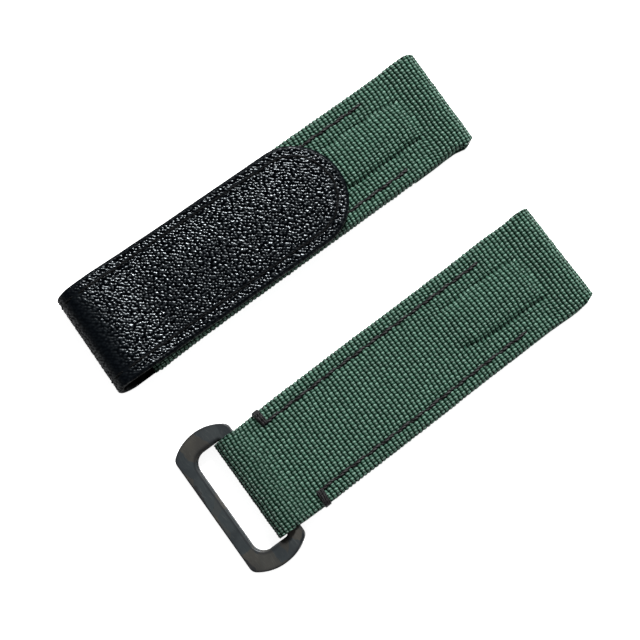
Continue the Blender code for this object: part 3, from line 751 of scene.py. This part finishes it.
flapSkin, bendSkin = leatherFlap(), leatherBend()
longLining = liningSlab(
    "longLiningSkin", "long", -73.25, -13.2, [(-73.5, 9.8), (-69.8, 9.75), (-69.6, 9.2), (-13.2, 9.2)],
    [(-73.5, -10.3), (-69.3, -10.25), (-69.0, -9.5), (-50, -9.2), (-13.2, -9.2)],
    [(-73.5, 1.1), (-69.8, 1.1), (-69.6, 0.8), (-13.2, 0.8)], 43,
)
shortLining = liningSlab(
    "shortLiningSkin", "short", -56.2, -13.2, [(-56.2, 9.2), (-13.2, 9.2)], [(-56.2, -9.2), (-13.2, -9.2)],
    [(-56.2, 0.8), (-13.2, 0.8)], 44,
)
dress(flapSkin, "flap", "leather_flap")
dress(longLining, "long_half", "long_lining")
dress(shortLining, "short_half", "short_lining")
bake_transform(bendSkin)
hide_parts("leather_bend")
print("leather made")


# Stitches: three-ply thread that dips into a hole at every stitch

thread = {"radius": 0.30, "lobes": 3, "sides": 24, "lay": 0.95, "step": 0.07, "up": (0.0, 0.0, 1.0)}


def threadLook(name, light, gloss):
    w = Wiring(name)
    fuzz, ply = w.noise(w.place(), 6000.0, 3.0, 0.65), w.value("ply")
    w.bump(w.sum("MULTIPLY_ADD", fuzz, 0.5, ply), 0.00003)
    # painted shade: between the plies the colour goes near black, and the ply crowns keep the thread's colour
    color = w.mix(w.span(ply, 0.45, 1.0), (0.0005, 0.0005, 0.0006), light)
    return w.finish(color, 0.55, Specular_IOR_Level=gloss)


blackThread = threadLook("blackTwistedThread", (0.015, 0.0143, 0.0157), 0.32)
# a darker, less glossy copy of the thread for the stitches in the leather
darkerThread = threadLook("blackDarkerThread", (0.0035, 0.0040, 0.0048), 0.08)


def yarn(path, radius, lay=thread["lay"]):
    # Round the path runs a three-lobed section that turns with the distance gone, so the plies wind round it.
    gone = distance(path)[:, None]
    angle = np.linspace(0, 2 * math.pi, thread["sides"], endpoint=False)
    twist = 2 * math.pi * gone / (lay * thread["lobes"])
    lobe = np.abs(np.cos(thread["lobes"] * (angle - twist) / 2))
    taper = np.minimum(1.0, np.minimum(gone, gone[-1] - gone) / (radius * 1.2) + 0.25)
    size = radius * taper * (0.62 + 0.38 * lobe)
    ahead = unit(np.gradient(path, axis=0))
    side = unit(np.cross(thread["up"], ahead))
    over = np.cross(ahead, side)
    flat, tall = (size * np.cos(angle))[..., None], (size * np.sin(angle))[..., None]
    points = path[:, None] + side[:, None] * flat + over[:, None] * tall
    index, tris = numbered(points), []
    quads = gridQuads(np.concatenate([index, index[:, :1]], axis=1))
    for ring, hub, way in ((index[0], index.size, 1), (index[-1], index.size + 1, -1)):  # fans over both ends
        tris.append(np.stack([np.full_like(ring, hub), ring, np.roll(ring, -1)], axis=-1)[:, ::way])
    points = np.concatenate([points.reshape(-1, 3), path[[0, -1]]])
    return points, *outward(points, quads, np.concatenate(tris)), np.append(lobe, [0.5, 0.5])


def sewn(name, yarns, half, look):  # threads as one mesh
    points, quads, tris, plies = zip(*yarns)
    shifts = np.cumsum([0] + [len(part) for part in points[:-1]])
    quads = np.concatenate([part + shift for part, shift in zip(quads, shifts)])
    tris = np.concatenate([part + shift for part, shift in zip(tris, shifts)])
    plies = {"ply": np.concatenate(plies)}
    return addMesh(name, place(np.concatenate(points), half), quads, tris, look, values=plies)


def stitched(line, normal, length, lift, dip, sway, seed):
    # Points along a line: between holes the thread arches up and crosses the line aslant, then dips in.
    gone = distance(line)
    spots = np.linspace(0, gone[-1], round(gone[-1] / thread["step"]) + 1)
    stitch = spots / gone[-1] * max(1, round(gone[-1] / length))
    which = np.floor(stitch)
    share = stitch - which
    base, up = (pointsOf(*(np.interp(spots, gone, part) for part in rows.T)) for rows in (line, normal))
    side = np.cross(up, unit(np.gradient(base, axis=0)))
    aslant = sway * (2 * share - 1) * np.sin(np.pi * share) ** 0.5 + 0.05 * (draw(which, 0, seed) - 0.5)
    arch = np.power(np.abs(np.sin(np.pi * stitch)), 0.7)
    height = -dip + (lift + dip + 0.04 * (draw(which, 0, seed + 1) - 0.5)) * arch
    return base + up * height[:, None] + side * aslant[:, None]


def strapSeam(name, half, piece, side, x0, x1, seed):
    x = np.linspace(x0, x1, 400)
    y = along(piece["seams"][side], x)
    line = pointsOf(x, y, coverTop(x, y, piece))
    path = stitched(line, np.broadcast_to(thread["up"], line.shape), 3.2, 0.14, 0.30, 0.17, seed)
    return sewn(name, [yarn(path, thread["radius"])], half, blackThread)


for half, piece, side, x0, x1, seed in (
    ("short", shortCover, "far", -59.2, -12.7, 51), ("short", shortCover, "near", -58.6, -13.5, 52),
    ("long", longCover, "far", -67.5, -12.7, 53), ("long", longCover, "near", -67.5, -12.9, 54),
):
    made = strapSeam(half + side.capitalize() + "Stitches", half, piece, side, x0, x1, seed)
    dress(made, half + "_half", half + "_" + side + "_seam")

tack = {
    "wraps": 5, "start": 7.2, "corner": 0.75, "proud": 0.84, "fall": 0.95, "down": 1.1, "top": 2.70,
    "pitch": 0.23, "slant": 0.13, "lump": 0.10, "wander": 0.06, "radius": 0.20, "lay": 1.1,
}


def barTack(name, side, x, seed):
    # Wraps side by side, from the seam out over the edge and down the side.
    way = 1 if side == "far" else -1
    corner = tack["corner"] * math.pi / 2
    yarns = []
    for k in range(tack["wraps"]):
        share = np.linspace(0, 1, 60)
        start = tack["start"] + 0.12 * (draw(k, 1, seed) - 0.5)
        flat = along(shortCover["edges"][side], x) - tack["corner"] - start
        gone = share * (flat + corner + tack["down"])
        turn = np.clip((gone - flat) / tack["corner"], 0, math.pi / 2)
        y = start + np.minimum(gone, flat) + tack["proud"] * np.sin(turn)
        z = tack["top"] - tack["fall"] * (1 - np.cos(turn)) - np.maximum(gone - flat - corner, 0)
        z = z + tack["lump"] * (np.sin(np.pi * np.clip(share * 1.4, 0, 1)) + (k in (1, 3)))
        aside = (k - 2) * tack["pitch"] - tack["slant"] * (np.minimum(gone, flat) - flat / 2)
        aside = aside + tack["wander"] * np.sin(5 * share + 6 * draw(k, 2, seed))
        yarns.append(yarn(pointsOf(x + aside, way * y, z), tack["radius"], tack["lay"]))
    return sewn(name, yarns, "short", blackThread)


dress(barTack("farTack", "far", -59.35, 61), "short_half", "short_far_bar_tack")
dress(barTack("nearTack", "near", -58.9, 62), "short_half", "short_near_bar_tack")


def flapStitches():
    # Down the far side, round the tip inside the outline and back up the near side.
    start = flap["length"] - flap["tip"]
    oval = np.radians(np.linspace(90, -90, 160))[1:-1]
    straight = np.linspace(0.8, start, 300)
    ahead = np.concatenate([straight, start + (flap["tip"] - flap["seam"]) * np.cos(oval), straight[::-1]])
    side = np.concatenate([np.ones(len(straight)), np.sin(oval), -np.ones(len(straight))])
    middle = sum(flapSides(fold["x"] + ahead, 0.0)) / 2
    far, near = along(flap["seamFar"], ahead), along(flap["seamNear"], ahead)
    y = middle + np.where(side > 0, far - middle, middle - near) * side
    line = foldSlant(pointsOf(fold["x"] + ahead, y, flapTop(ahead, y)))
    path = stitched(line, np.broadcast_to(thread["up"], line.shape), 3.4, 0.0, 0.16, 0.16, 71)
    return sewn("flapStitches", [yarn(path, 0.2)], "long", darkerThread)


dress(flapStitches(), "flap", "flap_seam")


def bendStitches():
    yarns = []
    for side in (flap["seamFar"][0][1], flap["seamNear"][0][1]):
        angle = np.linspace(-math.pi / 2 - 0.2, -3 * math.pi / 2 + 0.05, 120)
        out = pointsOf(np.cos(angle), 0, np.sin(angle))
        line = foldSlant(np.array([fold["x"], side, fold["radius"]]) + out * (fold["radius"] - 0.22))
        yarns.append(yarn(stitched(line, out, 3.1, 0.10, 0.10, 0.06, 73 + side), 0.24))
    return sewn("bendStitches", yarns, "long", darkerThread)


bendSeam = bendStitches()
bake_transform(bendSeam)
print("stitches made")


# Ring buckle: rings of points from the outline over the top to the window and back underneath

ring = {
    "pivot": (-65.9866, 2.2134), "tilt": 7.266, "yaw": -1.6, "aside": -0.12,
    "reach": 9.98, "bar": 2.5, "freeBar": 2.65, "span": 27.3, "thick": 1.9, "bow": 8.5, "corner": 1.5,
    "window": 20.1, "windowCorner": 2.3, "loopCorner": 0.5, "chamfer": 0.22, "innerChamfer": 0.32,
    "points": 480,  # round the outline
}


def arcPoints(centre, radius, start, end, steps):
    angle = np.radians(np.linspace(start, end, steps + 1))
    return pointsOf(centre[0] + radius * np.cos(angle), centre[1] + radius * np.sin(angle))


def evenly(loop, count):  # the same closed outline through evenly spaced points
    loop = np.concatenate([loop, loop[:1]])
    gone = distance(loop)
    spots = np.linspace(0, gone[-1], count, endpoint=False)
    return pointsOf(*(np.interp(spots, gone, part) for part in loop.T))


def ringOutline():
    left, right, corner, bow = -ring["reach"], ring["bar"] / 2, ring["corner"], ring["bow"]
    bowX, bowY = (left + right) / 2, ring["span"] / 2 - bow
    run, swing = (right - left) / 2 - corner, bow - corner
    cornerY = bowY + math.sqrt(swing * swing - run * run)
    lean = math.degrees(math.acos(run / swing))
    top = np.concatenate([
        arcPoints((right - corner, cornerY), corner, 0, lean, 24),
        arcPoints((bowX, bowY), bow, lean, 180 - lean, 80)[1:-1],
        arcPoints((left + corner, cornerY), corner, 180 - lean, 180, 24),
    ])
    return np.concatenate([top, top[::-1] * (1, -1)])


def ringWindow():
    half, left, right = ring["window"] / 2, -ring["reach"] + ring["freeBar"], -ring["bar"] / 2
    wide, tight = ring["windowCorner"], ring["loopCorner"]
    return np.concatenate([
        arcPoints((right - tight, half - tight), tight, 0, 90, 10),
        arcPoints((left + wide, half - wide), wide, 90, 180, 24),
        arcPoints((left + wide, wide - half), wide, 180, 270, 24),
        arcPoints((right - tight, tight - half), tight, 270, 360, 10),
    ])


def ringLook():
    look = {
        "slate": (0.030, 0.037, 0.040), "brown": (0.050, 0.047, 0.040), "dark": (0.008, 0.010, 0.013),
        "pale": (0.105, 0.107, 0.102), "rim": (0.004, 0.005, 0.007), "swirl": 0.0014, "depth": 0.000006,
    }
    w = Wiring("marbledCarbon")
    spot = w.place()
    swirl = w.noise(spot, 380.0, out="Color"), (look["swirl"],) * 3, spot
    swirled = w.node("ShaderNodeVectorMath", *swirl, operation="MULTIPLY_ADD").outputs[0]
    flakes = w.cells(w.stretched(swirled, (1.0, 0.55, 1.0), 0.6), 420.0, "Color")
    kind, tone, _ = w.node("ShaderNodeSeparateColor", flakes).outputs
    streak = w.noise(w.stretched(swirled, (6.0, 0.7, 1.0), 0.9), 900.0, 4.0, 0.65)
    color = w.mix(w.span(kind, 0.35, 0.75), look["slate"], look["brown"])
    color = w.mix(w.span(tone, 0.62, 0.95, 0.0, 0.75), color, look["dark"])
    color = w.mix(w.span(streak, 0.50, 0.78, 0.0, 0.45), color, look["pale"])
    color = w.mix(w.span(w.noise(spot, 260.0), 0.35, 0.75, 0.0, 0.45), color, look["dark"])
    color = w.mix(w.sum("MULTIPLY", w.value("rim"), 0.8), color, look["rim"])
    w.bump(w.noise(w.stretched(spot, (1.0, 8.0, 1.0)), 2600.0, 3.0), look["depth"])
    return w.finish(color, w.span(streak, 0.3, 0.8, 0.52, 0.36), Specular_IOR_Level=0.35)


def ringBuckle():
    outline, window = evenly(ringOutline(), ring["points"]), evenly(ringWindow(), 6000)
    centre = np.array([(-ring["reach"] + ring["bar"] / 2) / 2, 0.0])

    def ray(loop):  # the way from the centre to each point
        return np.arctan2(*(loop - centre).T[::-1])

    # the window's points are found on the same rays from the centre as the outline's
    reach = np.interp(ray(outline), ray(window), np.hypot(*(window - centre).T), period=2 * math.pi)
    hole = centre + reach[:, None] * pointsOf(np.cos(ray(outline)), np.sin(ray(outline)))

    def square(loop, way):  # unit normals in the plane, out of the material
        tangent = np.roll(loop, -1, axis=0) - np.roll(loop, 1, axis=0)
        normal = unit(pointsOf(tangent[:, 1], -tangent[:, 0]))
        return normal * np.sign(np.einsum("ij,ij->i", normal, loop - centre))[:, None] * way

    outNormal, inNormal = square(outline, 1), square(hole, -1)
    h, c, d = ring["thick"] / 2, ring["chamfer"], ring["innerChamfer"]
    layers, rim = [], []

    def add(loop, z, dark):
        layers.append(pointsOf(*loop.T, z))
        rim.append(dark)

    # inset, height and how much darker the edge is coloured: up the outside, over the top, down the window,
    # underneath
    for inset, z, dark in (
        (0.0, -h + c, 0.5), (0.0, h - c, 0.9), (0.06 * c, h - 0.55 * c, 1.0), (0.45 * c, h - 0.12 * c, 0.9),
        (c, h, 0.5),
    ):
        add(outline - inset * outNormal, z, dark)
    for share, dark in ((0.05, 0.2), (0.12, 0.0), (0.5, 0.0), (0.82, 0.0), (0.91, 0.45)):
        add((outline - c * outNormal) * (1 - share) + (hole - d * inNormal) * share, h, dark)
    for inset, z, dark in (
        (d, h, 0.9), (0.5 * d, h - 0.22 * d, 0.2), (0.1 * d, h - 0.7 * d, 0.0), (0.0, h - d, 0.3),
        (0.0, -h + c, 0.6), (0.4 * c, -h + 0.15 * c, 0.6), (c, -h, 0.3),
    ):
        add(hole - inset * inNormal, z, dark)
    for inset, z, dark in ((c, -h, 0.3), (0.4 * c, -h + 0.15 * c, 0.5)):
        add(outline - inset * outNormal, z, dark)
    grid = np.array(layers)
    quads = gridQuads(np.pad(numbered(grid), ((0, 1), (0, 1)), mode="wrap"))
    points = grid.reshape(-1, 3)
    quads, tris = outward(points, quads, noTris)
    x, y, z = points.T
    x, z = turned(x, z, ring["tilt"])
    x, y = turned(x, y, ring["yaw"])
    points = place(pointsOf(x + ring["pivot"][0], y + ring["aside"], z + ring["pivot"][1]), "short")
    # how much darker each ring of points round the buckle is coloured
    darkEdges = {"rim": np.repeat(rim, len(outline))}
    made = addMesh("ringBuckleBody", points, quads, tris, ringLook(), values=darkEdges)
    made.data.set_sharp_from_angle(angle=math.radians(40))
    return made


dress(ringBuckle(), "ring", "ring_buckle")
print("ring made")


# Tapes that meet under the flap

def tapeLook(name, dark, light, scale):
    w = Wiring(name)
    fuzz = w.noise(w.place(), scale, 4.0, 0.7)
    w.bump(fuzz, 0.0001)
    color = w.mix(w.span(fuzz, 0.3, 0.7), dark, light)
    return w.finish(color, 0.8, Specular_IOR_Level=0.2, Sheen_Weight=0.03)


def tape(name, low, high, relief, up, look):
    # A tape between two corners: fine relief on the face that grips, plain on the other.
    steps = [round((high[k] - low[k]) / 0.24 / stride) * stride + 1 for k in (0, 1)]
    x = np.linspace(low[0], high[0], steps[0])[:, None]
    y = np.linspace(low[1], high[1], steps[1])
    face, back, way = (high[2], low[2], 1) if up else (low[2], high[2], -1)
    outer = pointsOf(x, y, face + way * (relief(x, y) - 0.12))
    return shell(name, outer, pointsOf(x, y, back), [pointsOf(x, y, (face + back) / 2)], "long", look)


def loops(x, y):
    return 0.12 * (0.5 + 0.3 * drift(x / 0.35, y / 0.35, 81) + 0.4 * drift(x / 0.9, y / 0.7, 82))


def hooks(x, y):
    return 0.16 * np.square(np.sin(np.pi * x / 1.2)) * np.square(np.sin(np.pi * y / 0.96))


loopBlack = tapeLook("loopPileBlack", (0.003, 0.003, 0.004), (0.020, 0.020, 0.021), 3200.0)
loopTape = tape("loopPile", (-67.5, -6.58, 2.8), (-32.5, 6.58, 3.15), loops, True, loopBlack)
dress(loopTape, "long_half", "loop_tape")
hookBlack = tapeLook("hookNylonBlack", (0.006, 0.006, 0.007), (0.016, 0.016, 0.017), 1500.0)
hookTape = tape("hookFace", (-63.0, -7.0, 3.35), (-28.6, 7.0, 3.70), hooks, False, hookBlack)
dress(hookTape, "flap", "hook_tape")


# Foam tongues: crowned pads that fill the cloth's swelling, a little inside its wall

def padLook():
    w = Wiring("padFoam")
    cells = w.cells(w.place(), 3400.0)
    w.bump(w.sum("ADD", cells, w.noise(w.place(), 5200.0, 3.0)), 0.00008)
    return w.finish(w.mix(cells, (0.20, 0.20, 0.19), (0.38, 0.38, 0.36)), 0.92)


padFoam = padLook()
foam = {"rows": 96, "columns": 48, "end": -9.2, "fromRear": 3.6, "inset": 0.75, "gap": 0.22, "base": 2.03}


def foamPad(name, half, piece):
    # A grid over the tongue's plan: its top follows the cloth less the wall, and its base is flat.
    pad, base = piece["pad"], foam["base"]
    x = np.linspace(pad["rear"] + foam["fromRear"], foam["end"], foam["rows"] + 1)[:, None]
    share = np.linspace(1, -1, foam["columns"] + 1)
    far, near = along(pad["far"], x) - foam["inset"], along(pad["near"], x) + foam["inset"]
    lengthwise = np.linspace(-1, 1, foam["rows"] + 1)[:, None]
    ends = np.sqrt(np.clip(1 - np.power(np.abs(lengthwise), 6), 0.02, 1))
    y = (far + near) / 2 + (far - near) / 2 * share * (0.82 + 0.18 * ends)
    top = coverTop(x, y, piece) - cloth["wall"] - foam["gap"]
    crown = np.sqrt(np.clip(1 - np.power(np.abs(share), 8), 0, 1)) * ends
    z = base + 0.03 + np.maximum(top - base - 0.03, 0.05) * (0.35 + 0.65 * crown)
    return shell(name, pointsOf(x, y, z), pointsOf(x, y, base), [pointsOf(x, y, base + 0.07)], half, padFoam)


for half, piece in (("short", shortCover), ("long", longCover)):
    made = foamPad(half + "FoamPad", half, piece)
    dress(made, half + "_half", half + "_pad")


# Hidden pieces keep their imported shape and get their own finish

def fibreLook(name, dark, light, scale, rough, depth):
    w = Wiring(name)
    grain = w.noise(w.stretched(w.place(), (1.0, 3.0, 1.0)), scale, 4.0, 0.6)
    w.bump(grain, depth)
    return w.finish(w.mix(w.span(grain, 0.3, 0.7), dark, light), rough)


hidden = {
    "tunnel_liner": fibreLook("linerPlastic", (0.52, 0.52, 0.50), (0.66, 0.66, 0.63), 900.0, 0.4, 0.00001),
    "stiffener": fibreLook("stiffenerBoard", (0.08, 0.07, 0.06), (0.17, 0.155, 0.14), 2600.0, 0.85, 0.00003),
}
for name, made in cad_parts.items():
    for ending, look in hidden.items():
        if name.endswith(ending):
            made.data.materials.clear()
            made.data.materials.append(look)
print("hidden pieces finished")


# Table, light and camera, in metres

studio = {
    "fill": 0.26, "ceiling": 0.045, "cove": 0.30, "coveStart": -0.25, "coveEnd": 0.85,
    "key": 19.5, "side": 0.06, "table": 1.5, "tableTop": -0.00012, "glow": 0.86, "bounce": 0.25,
    "white": (1.0, 1.0, 1.0, 1.0),
}
photo = {
    "eye": (-0.025387, -0.029424, 0.261549), "target": (-0.003017, -0.000257, 0.0), "angle": 24.0,
    "up": (0.6086, 0.7935), "right": (0.7935, -0.6086),  # the picture's directions on the table
}


def floorLook():
    w = Wiring("whiteTable")
    path = w.node("ShaderNodeLightPath").outputs
    seen = w.sum("MAXIMUM", path["Is Camera Ray"], path["Is Transmission Ray"])
    seen = w.sum("MULTIPLY_ADD", path["Is Diffuse Ray"], studio["bounce"], seen)
    glow = w.node("ShaderNodeEmission", studio["white"], w.sum("MULTIPLY", seen, studio["glow"]))
    both = w.node("ShaderNodeAddShader", w.shader.outputs[0], glow.outputs[0])
    w.put(w.tree.nodes["Material Output"].inputs["Surface"], both.outputs[0])
    fleck = w.noise(w.place(), 40.0)
    return w.finish(w.mix(fleck, (0.80, 0.80, 0.80), (0.84, 0.84, 0.84)), 0.9, Specular_IOR_Level=0.1)


def studioSky():
    # White round about and behind everything, dim overhead; what lights the object is one even low level.
    w = Wiring("studio", "worlds", "Background")
    bpy.context.scene.world = w.owner
    path = w.node("ShaderNodeLightPath").outputs
    height = w.axes(w.node("ShaderNodeTexCoord").outputs["Generated"])["Z"]
    cove = w.span(height, studio["coveStart"], studio["coveEnd"], studio["cove"], studio["ceiling"])
    mirrored = w.sum("MAXIMUM", path["Is Glossy Ray"], path["Is Transmission Ray"])
    lit = w.sum("MULTIPLY_ADD", mirrored, w.sum("SUBTRACT", cove, studio["fill"]), studio["fill"])
    w.put(w.shader.inputs["Strength"], w.sum("MAXIMUM", lit, path["Is Camera Ray"]))
    w.put(w.shader.inputs["Color"], studio["white"])


def areaLamp(name, at, size, power):  # aimed at the middle of the table
    data = bpy.data.lights.new(name, "AREA")
    data.shape = "RECTANGLE"
    data.size, data.size_y = size
    data.energy = power
    made = bpy.data.objects.new(name, data)
    bpy.context.scene.collection.objects.link(made)
    made.location = at
    away = math.atan2(at[1], at[0])
    made.rotation_euler = (math.acos(at[2] / np.linalg.norm(at)), 0.0, away + math.pi / 2)
    made.visible_camera = False


def photoCamera():
    data = bpy.data.cameras.new("photoCamera")
    data.sensor_fit = "HORIZONTAL"
    data.angle = math.radians(photo["angle"])
    data.clip_start = 0.01
    made = bpy.data.objects.new("photoCamera", data)
    bpy.context.scene.collection.objects.link(made)
    eye = np.array(photo["eye"])
    back = unit(eye - photo["target"])
    side = unit(np.cross((*photo["up"], 0.0), back))
    matrix = np.eye(4)
    matrix[:3] = pointsOf(side, np.cross(back, side), back, eye)
    made.matrix_world = matrix.T.tolist()
    return made


corners = np.array([(-1, -1), (1, -1), (1, 1), (-1, 1)]) * studio["table"]
corners = pointsOf(*corners.T, studio["tableTop"])
floor = addMesh("table", corners, np.array([[0, 1, 2, 3]]), noTris, floorLook())
studioSky()
up, right = np.array(photo["up"]), np.array(photo["right"])
areaLamp("key", (*(0.75 * up + 0.09 * right), 0.66), (0.20, 0.16), studio["key"])
areaLamp("fill", (*(0.45 * right - 0.15 * up), 0.45), (0.3, 0.3), studio["side"])
bpy.context.scene.camera = photoCamera()
bpy.context.scene.view_settings.view_transform = "Standard"
print("stage set")
